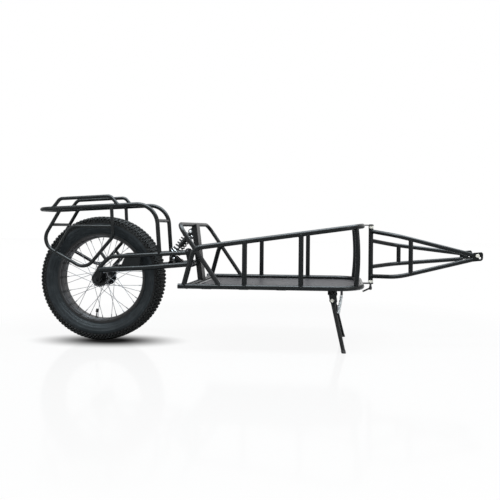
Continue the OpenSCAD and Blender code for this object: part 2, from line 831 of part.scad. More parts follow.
module lower_rail_bar() {
    bar(lower_path, [corner_r, corner_r], rail_d);
}

module upper_rail_bar() {
    bar(upper_path, upper_bends, rail_d);
}

module lower_rail() {
    color([0.06, 0.065, 0.07]) tube(lower_path, [corner_r, corner_r], rail_d, rail_wall);
}

module lower_sides() {
    both_sides() rod(pt(rail_back_s, -rail_y, deck_z), pt(front_s - corner_r, -rail_y, deck_z),
        rail_d + 2 * weld_gap);
}

module rail_plugs() {
    color([0.03, 0.03, 0.03]) both_sides()
        rod(pt(rail_back_s - plug_t, -rail_y, deck_z), pt(rail_back_s, -rail_y, deck_z), rail_d);
}

module rear_crossbar() {
    color([0.06, 0.065, 0.07]) difference() {
        rod(pt(crossbar_s, -rail_y, deck_z), pt(crossbar_s, rail_y, deck_z), rail_d);
        rod(pt(crossbar_s, -rail_y, deck_z), pt(crossbar_s, rail_y, deck_z), rail_d - 2 * rail_wall);
        lower_sides();
        both_sides() rod(upper_path[0], upper_path[1], rail_d + 2 * weld_gap);
    }
}

module upper_rail() {
    color([0.06, 0.065, 0.07]) difference() {
        tube(upper_path, upper_bends, rail_d, rail_wall);
        lower_sides();
        both_sides() rod(hoop_path[0], hoop_path[1], hoop_d);
    }
}

module side_posts() {
    color([0.06, 0.065, 0.07]) both_sides() difference() {
        for (s = post_s) rod(pt(s, -rail_y, deck_z), pt(s, -rail_y, upper_z(s)), post_d);
        for (s = post_s) rod(pt(s, -rail_y, deck_z), pt(s, -rail_y, upper_z(s)), post_d - 2 * rail_wall);
        lower_sides();
        rod(pt(upper_back_s + 60, -rail_y, upper_z(upper_back_s + 60)),
            pt(front_s - corner_r, -rail_y, upper_z(front_s - corner_r)), rail_d);
    }
}

module front_posts() {
    s = front_s - corner_r * (1 - cos(front_post_turn));
    y = rail_y - corner_r * (1 - sin(front_post_turn));
    top = upper_z(s);
    p = [pt(s, -y, deck_z), pt(s + 2 * front_post_bow, -y, (deck_z + top) / 2), pt(s, -y, top)];
    color([0.06, 0.065, 0.07]) both_sides() difference() {
        tube(p, [front_post_r], front_post_d, rail_wall);
        bend(lower_path[0], lower_path[1], lower_path[2], corner_r, rail_d);
        bend(upper_path[1], upper_path[2], upper_path[3], corner_r, rail_d);
    }
}

module rear_hoop() {
    color([0.06, 0.065, 0.07]) difference() {
        tube(hoop_path, [hoop_corner_r, hoop_corner_r], hoop_d, rail_wall);
        lower_sides();
    }
}

tower_lean = atan2(tower_foot.x - tower_top.x, tower_top.y - tower_foot.y);
tower_len = norm(tower_top - tower_foot);

module tower_block(shrink) {
    translate(pt(tower_foot.x, 0, tower_foot.y)) rotate([0, -tower_lean, 0])
        translate([-tower_t / 2 + shrink, -tower_w / 2 + shrink, 0])
            cube([tower_t - 2 * shrink, tower_w - 2 * shrink, tower_len]);
}

module tower_box() {
    tower_block(0);
}

module tower() {
    color([0.06, 0.065, 0.07]) difference() {
        tower_block(0);
        tower_block(tower_wall);
        rod(pt(crossbar_s, -rail_y, deck_z), pt(crossbar_s, rail_y, deck_z), rail_d);
        rod(hoop_path[1], hoop_path[2], hoop_d);
        pin([pivot_s, pivot_z], pivot_tube_d, -boss_in, boss_in);
    }
}

module pivot_tube() {
    color([0.06, 0.065, 0.07]) difference() {
        pin([pivot_s, pivot_z], pivot_tube_d, -boss_in + face_gap, boss_in - face_gap);
        pin([pivot_s, pivot_z], pivot_bolt_d, -boss_in, boss_in);
    }
}

module pivot_bolt() {
    out = boss_in + boss_w + face_gap;
    color([0.2, 0.2, 0.2]) {
        pin([pivot_s, pivot_z], pivot_bolt_d, -out - nut_h, out + nut_h);
        both_sides() hex([pivot_s, pivot_z], 19, -out - nut_h, -out);
    }
}

module floor_plate() {
    y = rail_y - floor_inset;
    r = corner_r - floor_inset;
    color([0.3, 0.29, 0.29]) translate([0, 0, floor_top_z - floor_t]) linear_extrude(height = floor_t) {
        for (m = [-1, 1]) translate([front_s - corner_r - mid_s, m * (y - r)]) circle(r = r, $fn = 96);
        translate([floor_back_s - mid_s, -y]) square([front_s - corner_r - floor_back_s, 2 * y]);
        translate([front_s - corner_r - mid_s - 1, -y + r]) square([r + 1, 2 * (y - r)]);
    }
}

module floor_straps() {
    color([0.06, 0.065, 0.07]) difference() {
        for (s = strap_s) translate([s - strap_w / 2 - mid_s, -rail_y, floor_top_z - floor_t - strap_t])
            cube([strap_w, frame_w, strap_t]);
        lower_sides();
    }
}

module stand_bar() {
    color([0.06, 0.065, 0.07]) difference() {
        translate([stand_s - stand_bar_w / 2 - mid_s, -rail_y, floor_top_z - floor_t - stand_bar_h])
            cube([stand_bar_w, frame_w, stand_bar_h]);
        bar(lower_path, [corner_r, corner_r], rail_d + 2 * weld_gap);
        translate([stand_s - stand_bar_w / 2 + 2 - mid_s, -rail_y - 1,
            floor_top_z - floor_t - stand_bar_h + 2]) cube([stand_bar_w - 4, frame_w + 2, stand_bar_h - 4]);
    }
}

// Steering
module steering_lugs() {
    color([0.06, 0.065, 0.07]) difference() {
        for (z = [lug_top_z, lug_low_z]) translate([0, 0, z - lug_t / 2]) linear_extrude(height = lug_t) {
            translate([head_s - mid_s, 0]) circle(r = lug_r);
            polygon([[front_s - mid_s, -lug_r - 8], [head_s - mid_s, -lug_r],
                [head_s - mid_s, lug_r], [front_s - mid_s, lug_r + 8]]);
        }
        lower_rail_bar();
        upper_rail_bar();
        translate([head_s - mid_s, 0, lug_low_z - 20]) cylinder(h = 320, d = steer_pin_d);
    }
}

lug_top_under = lug_top_z - lug_t / 2;
lug_low_over = lug_low_z + lug_t / 2;
head_top = lug_top_under - face_gap - bushing_flange_t;
head_low = lug_low_over + face_gap + bushing_flange_t;

module post_at_head(z0, z1, d) {
    translate([head_s - mid_s, 0, z0]) cylinder(h = z1 - z0, d = d);
}

module steering_pin() {
    color([0.12, 0.12, 0.12]) {
        post_at_head(lever_z - lever_h - 2, lug_top_z + lug_t / 2 + pin_head_t, steer_pin_d);
        post_at_head(lug_top_z + lug_t / 2, lug_top_z + lug_t / 2 + pin_head_t, pin_head_d);
    }
}

module head_tube() {
    color([0.04, 0.045, 0.05]) difference() {
        post_at_head(head_low, head_top, head_d);
        post_at_head(head_low - 1, head_top + 1, steer_pin_d + 2 * bushing_wall);
    }
}

module head_bushings() {
    color([0.85, 0.83, 0.74]) difference() {
        union() {
            post_at_head(head_top - 25, head_top, steer_pin_d + 2 * bushing_wall);
            post_at_head(head_top, head_top + bushing_flange_t, bushing_d);
            post_at_head(head_low, head_low + 25, steer_pin_d + 2 * bushing_wall);
            post_at_head(head_low - bushing_flange_t, head_low, bushing_d);
        }
        post_at_head(head_low - 20, head_top + 20, steer_pin_d + 2 * run_fit);
    }
}

module clamp_lever() {
    arm_z = lever_z - lever_h / 2;
    color([0.05, 0.05, 0.05]) difference() {
        union() {
            post_at_head(lever_z - lever_h, lever_z, lever_hub_d);
            rod(pt(head_s, 0, arm_z), pt(head_s - lever_l, 0, arm_z - lever_drop), lever_d);
        }
        post_at_head(lug_low_z - 60, lever_z + 1, steer_pin_d + 2 * run_fit);
    }
}

function fork_path(side, z) = [pt(head_s, 0, z[0]), pt(fork_knee_s, side * fork_y, z[1]),
    pt(fork_end_s, side * fork_y, z[2])];

module fork_bar(side, z) {
    bar(fork_path(side, z), [fork_bend_r], fork_d);
}

// Height of a fork tube's centre at s, past its knee
function fork_z(z, s) = mix(z[1], z[2], (s - fork_knee_s) / (fork_end_s - fork_knee_s));

module fork_arm(side, up, low, brace_s) {
    foot = pt(brace_s, side * fork_y, fork_z(low, brace_s));
    top = pt(brace_s, side * fork_y, fork_z(up, brace_s));
    color([0.05, 0.055, 0.06]) {
        for (z = [up, low]) difference() {
            tube(fork_path(side, z), [fork_bend_r], fork_d, arm_wall);
            post_at_head(head_low, head_top, head_d);
            translate([tip_back_s - mid_s, side * fork_y - hitch_t / 2, fork_z(z, tip_back_s) - 30])
                cube([30, hitch_t, 60]);
        }
        difference() {
            rod(foot, top, brace_d);
            fork_bar(side, up);
            fork_bar(side, low);
        }
    }
}

module fork_right_arm() {
    fork_arm(-1, near_up, near_low, brace_near_s);
}

module fork_left_arm() {
    fork_arm(1, far_up, far_low, brace_far_s);
}

module hitch_plate(side) {
    side_plate(side * fork_y, hitch_t) {
        translate(at2([hitch_s, hitch_z])) circle(r = tip_front_r);
        polygon([at2([tip_back_s, tip_low_z]), at2([hitch_s - tip_front_r * sin(tip_lean),
            hitch_z - tip_front_r * cos(tip_lean)]), at2([hitch_s + tip_front_r, hitch_z]),
            at2([hitch_s + tip_front_r, tip_high_z - 6]), at2([hitch_s + tip_front_r - 6, tip_high_z]),
            at2([tip_back_s + 18, tip_high_z - 3]), at2([tip_back_s, tip_high_z - 8])]);
    }
}

module hitch_plates() {
    color([0.04, 0.04, 0.045]) for (side = [-1, 1]) difference() {
        hitch_plate(side);
        pin([hitch_s, hitch_z], hitch_hole_d, side * fork_y - hitch_t, side * fork_y + hitch_t);
        pin(stop_bolt, stop_bolt_d, side * fork_y - hitch_t, side * fork_y + hitch_t);
    }
}

module hitch_bolts() {
    color([0.85, 0.83, 0.74]) both_sides() {
        pin(stop_bolt, stop_bolt_d, -fork_y - hitch_t / 2, -fork_y + hitch_t / 2);
        pin(stop_bolt, stop_head_d, -fork_y - hitch_t / 2 - stop_head_t, -fork_y - hitch_t / 2);
    }
}

// Stand
stand_in_y = stand_gap / 2;
bar_under_z = floor_top_z - floor_t - stand_bar_h;

module stand_brackets() {
    color([0.05, 0.05, 0.055]) both_sides() difference() {
        side_plate(-stand_in_y - bracket_plate_t / 2, bracket_plate_t) {
            translate(at2([stand_s, stand_z])) circle(r = bracket_round_r);
            polygon([at2([stand_s - bracket_top_w / 2, bar_under_z]),
                at2([stand_s + bracket_top_w / 2, bar_under_z]), at2([stand_s + 23, stand_z - 4]),
                at2([stand_s + 17, stand_z - 18]), at2([stand_s, stand_z - 8]),
                at2([stand_s - bracket_round_r + 1, stand_z])]);
        }
        pin([stand_s, stand_z], stand_bolt_d, -stand_in_y - 20, -stand_in_y + 20);
    }
}

module stand_bolts() {
    out = stand_in_y + bracket_plate_t;
    color([0.85, 0.83, 0.78]) both_sides() {
        pin([stand_s, stand_z], stand_bolt_d, -out, -stand_in_y + 26);
        pin([stand_s, stand_z], 16, -out - 5, -out);
    }
}

module stand_shaft() {
    end = stand_in_y - face_gap;
    color([0.05, 0.055, 0.06]) difference() {
        pin([stand_s, stand_z], shaft_d, -end, end);
        both_sides() pin([stand_s, stand_z], stand_bolt_d + 2 * run_fit, -end - 1, -end + 30);
    }
}

leg_top = pt(stand_s, -stand_in_y + leg_inset, stand_z);
leg_foot = pt(stand_s + foot_reach, -foot_gap / 2, 0);
foot_top = mix(leg_foot, leg_top, foot_h / stand_z);

module stand_legs() {
    color([0.05, 0.055, 0.06]) both_sides() difference() {
        union() {
            rod(leg_top, foot_top, leg_d);
            translate(leg_tab) cube([12, 4, 6], center = true);
        }
        pin([stand_s, stand_z], shaft_d, -stand_in_y - 20, -stand_in_y + 60);
    }
}

leg_tab_at = mix(leg_top, leg_foot, leg_hook_drop / stand_z);
leg_tab = leg_tab_at + [leg_d / 2 + 4, 0, 0];

module stand_feet() {
    color([0.03, 0.03, 0.03]) both_sides() intersection() {
        rod(foot_top, leg_foot + (leg_foot - foot_top) * 1.5, leg_d + 2);
        translate([0, -400, 0]) translate([stand_s - mid_s - 100, 0, 0]) cube([400, 800, 60]);
    }
}

module spring_pin() {
    color([0.06, 0.06, 0.06])
        rod(pt(hook_s, -hook_y, hook_pin_low), pt(hook_s, -hook_y, floor_top_z - floor_t), hook_pin_d);
}

module stand_spring() {
    a = pt(hook_s, -hook_y, hook_pin_low - 0.3);
    b = leg_tab + [0, 0, 3.3];
    pts = coil_points((coil_d - coil_wire) / 2, coil_wire, coil_turns, norm(b - a));
    echo("stand spring, least gap to itself", coil_gap(pts, coil_wire));
    color([0.75, 0.76, 0.78]) coil(a, b, (coil_d - coil_wire) / 2, coil_wire, coil_turns);
}

tyre();
rim();
spokes();
nipples();
hub_shell();
hub_bearings();
valve();
axle();
axle_nuts();
dropouts();
lower_arms();
upper_arms();
arm_bosses();
arm_bushes();
arm_gussets();
arm_heads();
arm_bridge();
arm_cross_tube();
shock_lower_bracket();
shock_lower_bolt();
rack_rails();
rack_hoops();
pannier_loops();
rack_inner_rails();
rack_ties();
rack_struts();
shock_body();
shock_rod();
shock_spring();
shock_upper_bracket();
shock_upper_bolt();
lower_rail();
rail_plugs();
rear_crossbar();
upper_rail();
side_posts();
front_posts();
rear_hoop();
tower();
pivot_tube();
pivot_bolt();
floor_plate();
floor_straps();
stand_bar();
stand_brackets();
stand_bolts();
spring_pin();
steering_lugs();
steering_pin();
clamp_lever();
head_tube();
head_bushings();
fork_right_arm();
fork_left_arm();
hitch_plates();
hitch_bolts();
stand_shaft();
stand_legs();
stand_feet();
stand_spring();
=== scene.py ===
"""Looks for the single wheel touring trailer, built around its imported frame.

Lengths that are written in millimetres go through MM. A point is written as the
part's source writes it: s forward of the wheel axle, y to the left, z above the
ground.
"""
import json
import math

import bpy
from mathutils import Matrix, Vector


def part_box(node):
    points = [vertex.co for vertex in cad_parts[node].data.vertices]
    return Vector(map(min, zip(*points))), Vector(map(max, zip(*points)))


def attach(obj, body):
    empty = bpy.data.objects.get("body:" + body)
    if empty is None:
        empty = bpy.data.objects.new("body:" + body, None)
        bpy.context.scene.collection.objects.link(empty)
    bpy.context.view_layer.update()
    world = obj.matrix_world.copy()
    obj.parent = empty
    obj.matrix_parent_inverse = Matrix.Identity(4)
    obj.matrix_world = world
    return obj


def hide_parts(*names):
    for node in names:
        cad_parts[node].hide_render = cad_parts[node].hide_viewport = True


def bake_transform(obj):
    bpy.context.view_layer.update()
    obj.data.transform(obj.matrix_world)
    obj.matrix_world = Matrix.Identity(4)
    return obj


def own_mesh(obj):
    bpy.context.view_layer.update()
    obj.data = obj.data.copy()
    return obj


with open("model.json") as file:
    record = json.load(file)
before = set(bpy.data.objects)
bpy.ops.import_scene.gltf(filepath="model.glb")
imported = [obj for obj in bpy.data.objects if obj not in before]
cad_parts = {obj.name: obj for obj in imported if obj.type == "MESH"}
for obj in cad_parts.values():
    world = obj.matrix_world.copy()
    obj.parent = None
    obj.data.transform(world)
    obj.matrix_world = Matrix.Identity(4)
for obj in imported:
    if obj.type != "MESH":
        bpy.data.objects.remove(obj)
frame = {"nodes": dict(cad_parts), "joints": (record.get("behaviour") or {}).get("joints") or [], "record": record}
NODES = frame["nodes"]
JOINTS = {j["name"]: j for j in frame["joints"]}
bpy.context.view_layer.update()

MM = 0.001
FULL_TURN = 2 * math.pi
TYRE_LOW, TYRE_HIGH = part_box("tyre")
AXLE = (TYRE_LOW + TYRE_HIGH) / 2
TYRE_R = (TYRE_HIGH.z - TYRE_LOW.z) / 2
TYRE_HALF_W = (TYRE_HIGH.y - TYRE_LOW.y) / 2


def place(s, y, z):
    """A point of the part's source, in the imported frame."""
    return Vector((AXLE.x + s * MM, y * MM, z * MM))


# ---------------------------------------------------------------- shader maths
class Signal:
    """A shader socket, on which Python's operators build Math nodes."""

    def __init__(self, finish, socket):
        self.finish, self.socket = finish, socket

    def math(self, operation, *others):
        made = self.finish.tree.nodes.new("ShaderNodeMath")
        made.operation = operation
        for slot, value in zip(made.inputs, (self, *others)):
            self.finish.feed(slot, value)
        return Signal(self.finish, made.outputs[0])

    def __add__(self, other):
        return self.math("ADD", other)

    def __mul__(self, other):
        return self.math("MULTIPLY", other)

    def __sub__(self, other):
        return self.math("SUBTRACT", other)

    def __truediv__(self, other):
        return self.math("DIVIDE", other)

    def __rsub__(self, other):
        return (self * -1.0) + other

    __radd__ = __add__
    __rmul__ = __mul__

    def ease(self, low, high):
        """0 below low, 1 above high, and a smooth step between them."""
        return self.finish.node("MapRange", {"interpolation_type": "SMOOTHSTEP"},
                                {"Value": self, "From Min": low, "From Max": high})


class Finish:
    """One material: a Principled surface, and what varies over it."""

    def __init__(self, name, **surface):
        self.material = bpy.data.materials.new(name)
        self.material.use_nodes = True
        self.tree = self.material.node_tree
        self.tree.nodes.clear()
        self.out = self.tree.nodes.new("ShaderNodeOutputMaterial")
        self.surface = self.tree.nodes.new("ShaderNodeBsdfPrincipled")
        self.tree.links.new(self.surface.outputs[0], self.out.inputs[0])
        self.point = self.node("TexCoord", output="Object")
        for input_name, value in surface.items():
            self.feed(self.surface.inputs[input_name.replace("_", " ")], value)

    def feed(self, slot, value):
        """Links a signal to a socket, or sets the socket to a constant."""
        if isinstance(value, Signal):
            self.tree.links.new(value.socket, slot)
        else:
            slot.default_value = value

    def node(self, kind, settings=(), sockets=(), output=0):
        """One output of a new node of that kind, with its settings made and its inputs fed."""
        made = self.tree.nodes.new("ShaderNode" + kind)
        for key, value in dict(settings).items():
            setattr(made, key, value)
        for key, value in dict(sockets).items():
            self.feed(made.inputs[key], value)
        return Signal(self, made.outputs[output])

    def vector_math(self, operation, *values):
        """A VectorMath node's result: a number for a length or a dot product."""
        output = 1 if operation in ("LENGTH", "DOT_PRODUCT") else 0
        return self.node("VectorMath", {"operation": operation}, enumerate(values), output)

    def noise(self, scale, detail, at=None):
        return self.node("TexNoise", {},
                         {"Vector": at or self.point, "Scale": scale, "Detail": detail})

    def mix(self, share, low, high):
        """Two colours mixed by share."""
        made = self.tree.nodes.new("ShaderNodeMix")
        made.data_type = "RGBA"
        # With the type RGBA, a Mix node's factor and colours are its inputs 0, 6 and 7.
        for index, value in ((0, share), (6, low), (7, high)):
            if isinstance(value, tuple):
                value = (*value, 1.0)
            self.feed(made.inputs[index], value)
        return Signal(self, made.outputs[2])

    def bump(self, height, distance, strength, onto):
        """The normal onto, tilted by the slopes of height."""
        return self.node("Bump", {}, {"Height": height, "Distance": distance,
                                      "Strength": strength, "Normal": onto})

    def soft_edges(self, radius):
        """A normal that rounds the edges, so that they catch the light."""
        return self.node("Bevel", {"samples": 6}, {"Radius": radius})

    def centred(self, middle):
        """The object's point, measured from middle."""
        return self.node("Mapping", {},
                         {"Vector": self.point, "Location": tuple(-c for c in middle)})

    def part_of(self, vector, axis):
        """One coordinate of a vector."""
        made = self.tree.nodes.new("ShaderNodeSeparateXYZ")
        self.feed(made.inputs[0], vector)
        return Signal(self, made.outputs["XYZ".index(axis)])

    def paint(self, colour, roughness=None, normal=None, metallic=None):
        """Feeds what varies into the surface, and gives the material."""
        for slot, value in (("Base Color", colour), ("Roughness", roughness),
                            ("Normal", normal), ("Metallic", metallic)):
            if value is not None:
                self.feed(self.surface.inputs[slot], value)
        return self.material


# ---------------------------------------------------------------- the finishes
def powder_coat(name, tone, rough=0.24, edge=0.7 * MM):
    """Satin powder coat: a fine orange peel, cloudy gloss, and dust with a painted sheen on what faces up."""
    f = Finish(name, Specular_IOR_Level=0.24)
    cloud = f.noise(9.0, 4.0)
    peel = f.noise(620.0, 2.0)
    speck = f.noise(1500.0, 1.0).ease(0.62, 0.74)
    # What faces up is lighter: partly dust, partly a painted sheen along the tops of the tubes.
    lift = f.part_of(f.node("NewGeometry", output="Normal"), "Z").ease(0.35, 1.0)
    dust_and_sheen = lift * cloud.ease(0.42, 0.7) * 0.3
    dark, dust_and_sheen_tone = tuple(c * 0.75 for c in tone), tuple(c * 1.15 + 0.008 for c in tone)
    shade = f.mix(cloud.ease(0.3, 0.75), dark, tone)
    shade = f.mix(dust_and_sheen, shade, dust_and_sheen_tone)
    return f.paint(shade, cloud * 0.12 + speck * 0.05 + dust_and_sheen * 0.2 + (rough - 0.06),
                   f.bump(peel, 0.05 * MM, 0.3, f.soft_edges(edge)))


def worn_steel(name, tone, rough, metallic=1.0):
    """Plated or drawn steel, with a fine grain and a little tarnish."""
    f = Finish(name, Metallic=metallic)
    grain = f.noise(900.0, 3.0)
    tarnish = f.noise(60.0, 4.0).ease(0.55, 0.8)
    shade = f.mix(tarnish, tone, tuple(c * 0.6 for c in tone))
    return f.paint(shade, grain * 0.12 + tarnish * 0.18 + rough,
                   f.bump(grain, 0.02 * MM, 0.4, f.soft_edges(0.4 * MM)))


def moulded(name, tone, rough, fade):
    """Moulded plastic: a fine matt grain, and clouds that are darker by fade."""
    f = Finish(name)
    grain, cloud = f.noise(1100.0, 2.0), f.noise(25.0, 3.0)
    shade = f.mix(cloud.ease(0.35, 0.7), tone, tuple(c * (1 - fade) for c in tone))
    return f.paint(shade, grain * 0.15 + rough,
                   f.bump(grain, 0.04 * MM, 0.5, f.soft_edges(0.5 * MM)))


def wheel_polar(f):
    """The wheel's own coordinates: radius from the axle, and a vector in its plane."""
    flat = f.vector_math("MULTIPLY", f.centred(AXLE), (1.0, 0.0, 1.0))
    return f.vector_math("LENGTH", flat), flat


def tyre_rubber():
    """Black rubber: bluish side walls with fine rings, and a browner, drier tread.

    The knobs carry the attribute crown, 1 on their tops and 0 at their feet, so that a painted shade darkens the
    grooves between them.
    """
    f = Finish("tyre_rubber", Specular_IOR_Level=0.2)
    ring_pitch = 2.2 * MM
    radius, _ = wheel_polar(f)
    grain, cloud = f.noise(900.0, 3.0), f.noise(30.0, 4.0)
    tread = radius.ease(TYRE_R - 26 * MM, TYRE_R - 14 * MM)
    rings = (radius * (FULL_TURN / ring_pitch)).math("SINE") * (1 - tread)
    wall = f.mix(cloud.ease(0.35, 0.7), (0.0105, 0.0145, 0.0172), (0.0190, 0.0245, 0.0280))
    dry = f.mix(f.noise(70.0, 2.0).ease(0.4, 0.66),
                (0.0150, 0.0170, 0.0175), (0.0420, 0.0420, 0.0400))
    crown = f.node("Attribute", {"attribute_name": "crown"}, output="Fac")
    # Painted shade: near black at the knobs' feet and in the grooves between them.
    dry = f.mix(crown.ease(0.3, 0.9), (0.0030, 0.0034, 0.0036), dry)
    shade = f.mix(radius.ease(TYRE_R - 34 * MM, TYRE_R - 31 * MM), wall, dry)
    relief = f.bump(rings, 0.12 * MM, 0.45, f.soft_edges(0.6 * MM))
    return f.paint(shade, grain * 0.12 + tread * 0.06 + 0.42,
                   f.bump(grain, 0.06 * MM, 0.5, relief))


def rim_paint():
    """Dark rim, with the lighter patches that show between its spoke holes."""
    f = Finish("rim_paint", Specular_IOR_Level=0.35)
    patches, well_r = 18.0, 203 * MM
    radius, flat = wheel_polar(f)
    turn = f.part_of(flat, "Z").math("ARCTAN2", f.part_of(flat, "X")) / FULL_TURN
    # The whole number added keeps the turn positive, since FRACT is taken of it.
    cell = (turn * patches + 40.0).math("FRACT")
    edge = (cell - 0.5).math("ABSOLUTE")
    tint = f.noise(7.0, 2.0).ease(0.4, 0.6)
    patch = f.mix(tint, (0.036, 0.034, 0.036), (0.066, 0.068, 0.074))
    shade = f.mix(edge.ease(0.40, 0.44), patch, (0.014, 0.014, 0.015))
    shade = f.mix(edge.ease(0.474, 0.486), shade, (0.004, 0.004, 0.004))
    shade = f.mix(radius.ease(well_r, well_r + 1 * MM), shade, (0.0065, 0.0070, 0.0075))
    grain = f.noise(800.0, 2.0)
    return f.paint(shade, grain * 0.12 + 0.34,
                   f.bump(grain, 0.03 * MM, 0.4, f.soft_edges(0.6 * MM)))


def floor_sheet():
    """Grey rolled sheet, brushed along the trailer, scuffed where loads slide."""
    f = Finish("floor_sheet", Specular_IOR_Level=0.14)
    along = f.node("Mapping", {}, {"Vector": f.point, "Scale": (0.05, 1.0, 1.0)})
    brushed = f.noise(900.0, 4.0, along)
    scuff = f.noise(14.0, 6.0).ease(0.5, 0.72)
    tint = f.noise(2.5, 3.0)
    shade = f.mix(tint.ease(0.35, 0.65), (0.036, 0.033, 0.036), (0.060, 0.058, 0.063))
    shade = f.mix(scuff * 0.4, shade, (0.11, 0.106, 0.11))
    return f.paint(shade, brushed * 0.2 + scuff * 0.12 + 0.36,
                   f.bump(brushed, 0.03 * MM, 0.5, f.soft_edges(0.5 * MM)))


def shock_finish(name, body, bright, bright_r):
    """A damper's finish: bright within bright_r of its middle line, and body outside."""
    f = Finish(name, Specular_IOR_Level=0.5)
    line = tuple(JOINTS["shock_slide"]["axis"])
    off = f.centred(JOINTS["shock_swing"]["pos_m"])
    along = f.vector_math("DOT_PRODUCT", off, line)
    radius = f.vector_math("LENGTH", f.vector_math("CROSS_PRODUCT", off, line))
    # More than 111 mm below the upper bolt, the lower seat and eye keep the body's tone.
    rod = (1 - radius.ease(bright_r, bright_r + 0.3 * MM)) * along.ease(-0.112, -0.111)
    grain = f.noise(900.0, 2.0)
    return f.paint(f.mix(rod, body, bright), grain * 0.1 + 0.32 - rod * 0.14,
                   f.bump(grain, 0.02 * MM, 0.4, f.soft_edges(0.5 * MM)), rod * 0.95)


BLACKED = worn_steel("blacked_steel", (0.030, 0.031, 0.033), 0.4)
FINISHES = {
    "black_powder_coat": powder_coat("black_powder_coat", (0.0050, 0.0070, 0.0078)),
    "tyre_rubber": tyre_rubber(),
    "rim_paint": rim_paint(),
    "spoke_steel": worn_steel("spoke_steel", (0.26, 0.27, 0.29), 0.26),
    "dark_steel": worn_steel("dark_steel", (0.07, 0.07, 0.075), 0.34),
    "bright_steel": worn_steel("bright_steel", (0.74, 0.77, 0.79), 0.22),
    "bronze": worn_steel("bronze", (0.42, 0.31, 0.15), 0.28),
    "floor_aluminium": floor_sheet(),
    "cream_plastic": moulded("cream_nylon", (0.86, 0.85, 0.77), 0.4, 0.06),
    "black_plastic": moulded("black_plastic", (0.014, 0.014, 0.015), 0.42, 0.3),
}
# Nodes whose finish differs from the one of their material slot
SPECIAL = {
    "tower": powder_coat("tower_coat", (0.0095, 0.0105, 0.0110), 0.3, 1.2 * MM),
    "rear_hoop": powder_coat("hoop_coat", (0.0110, 0.0120, 0.0130), 0.3),
    "hub_shell": powder_coat("hub_coat", (0.0050, 0.0055, 0.0060), 0.3, 0.8 * MM),
    "axle_nuts": BLACKED,
    "axle": BLACKED,
    "shock_lower_bolt": BLACKED,
    "valve": moulded("valve_rubber", (0.010, 0.010, 0.011), 0.4, 0.3),
    "stand_bolts": FINISHES["cream_plastic"],
    "shock_rod": shock_finish("shock_lower_finish", (0.010, 0.010, 0.011),
                              (0.6, 0.61, 0.63), 8 * MM),
    "shock_body": shock_finish("shock_upper_finish", (0.012, 0.012, 0.013),
                               (0.05, 0.05, 0.055), 0.0),
}
SLOTS = {s["node"]: s["material_slot"] for s in frame["record"]["subparts"]}
for node_name, node in NODES.items():
    node.data.materials.clear()
    node.data.materials.append(SPECIAL.get(node_name, FINISHES[SLOTS[node_name]]))


# ---------------------------------------------------------------- modelling helpers
def only(obj):
    """Makes an object the active one, and the only one selected."""
    bpy.ops.object.select_all(action="DESELECT")
    obj.select_set(True)
    bpy.context.view_layer.objects.active = obj


def in_edit(obj, work):
    """Runs work in edit mode, with everything selected."""
    only(obj)
    bpy.ops.object.mode_set(mode="EDIT")
    bpy.ops.mesh.select_all(action="SELECT")
    work()
    bpy.ops.object.mode_set(mode="OBJECT")


def on_faces(obj, wanted, work):
    """Runs work in edit mode, with only the faces selected that wanted() picks."""
    for part in (*obj.data.vertices, *obj.data.edges):
        part.select = False
    for face in obj.data.polygons:
        face.select = bool(wanted(face))
    only(obj)
    bpy.ops.object.mode_set(mode="EDIT")
    work()
    bpy.ops.object.mode_set(mode="OBJECT")


def fixed(obj):
    """Puts the object's place into its mesh."""
    only(obj)
    bpy.ops.object.transform_apply(location=True, rotation=True, scale=True)
    return obj


def smooth(obj, angle):
    """Shades smooth over every edge that bends by less than angle, in degrees."""
    only(obj)
    bpy.ops.object.shade_smooth_by_angle(angle=math.radians(angle))


def named(obj, name, finish):
    """Gives an object its name and its one material."""
    obj.name = obj.data.name = name
    obj.data.materials.clear()
    obj.data.materials.append(finish)


def dress(obj, name, body, slot):
    """Names a finished piece, gives it its slot's finish, and lets it ride on its body."""
    fixed(obj)
    named(obj, name, FINISHES[slot])
    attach(obj, body)


def copy_of(obj, matrix):
    """A copy with its own mesh, moved by matrix."""
    made = obj.copy()
    made.data = obj.data.copy()
    made.data.transform(matrix)
    bpy.context.scene.collection.objects.link(made)
    return made


def joined(parts):
    """One object out of several, under the first one's name."""
    bpy.ops.object.select_all(action="DESELECT")
    for part in parts:
        part.select_set(True)
    bpy.context.view_layer.objects.active = parts[0]
    bpy.ops.object.join()
    return parts[0]


def aimed(start, end):
    """The matrix that lays local Z along start to end, as the part's source aims a rod."""
    v = end - start
    lean = Matrix.Rotation(math.acos(v.z / v.length), 4, "Y")
    return Matrix.Translation(start) @ Matrix.Rotation(math.atan2(v.y, v.x), 4, "Z") @ lean


# ---------------------------------------------------------------- the tyre
PITCHES = 100               # repeats of the tread round the tyre
PITCH_TURN = FULL_TURN / PITCHES
TREAD_H = 7 * MM            # height of a knob over the carcass
SKIN = 1.2 * MM             # depth of the side wall under the envelope
LIP_R = 212 * MM            # radius of the rim's lip, where the bead comes out
BEAD_Y = 29.7 * MM          # the bead's outer face, from the middle
BEAD_H, BEAD_W = 8.6 * MM, 5 * MM       # what of the bead lies inside the rim's lip
WAIST_R = (TYRE_R + LIP_R) / 2
SIDE_RINGS = (              # angle round the section, height, spread in degrees
    (-6, 1.0, 3.0), (-28, 1.4, 4.0), (-46, 0.9, 3.0))
SECTION_ANGLES = (89.5, 84, 78, 71, 64, 56, 48, 40, 33, 26, 20, 14, 8, 3, 0, -3, -6, -9,
                  -14, -19, -24, -28, -32, -38, -43, -46, -49, -56)
KNOBS = (       # angle round the section, share of a pitch that it lags by, length, width
    (88.6, 0.0, 11, 12.5), (78.0, 0.08, 11, 12), (61.0, 0.16, 11, 11),
    (43.5, 0.22, 11.5, 10), (25.5, 0.72, 11.5, 10), (8.5, 0.22, 12, 8.5))
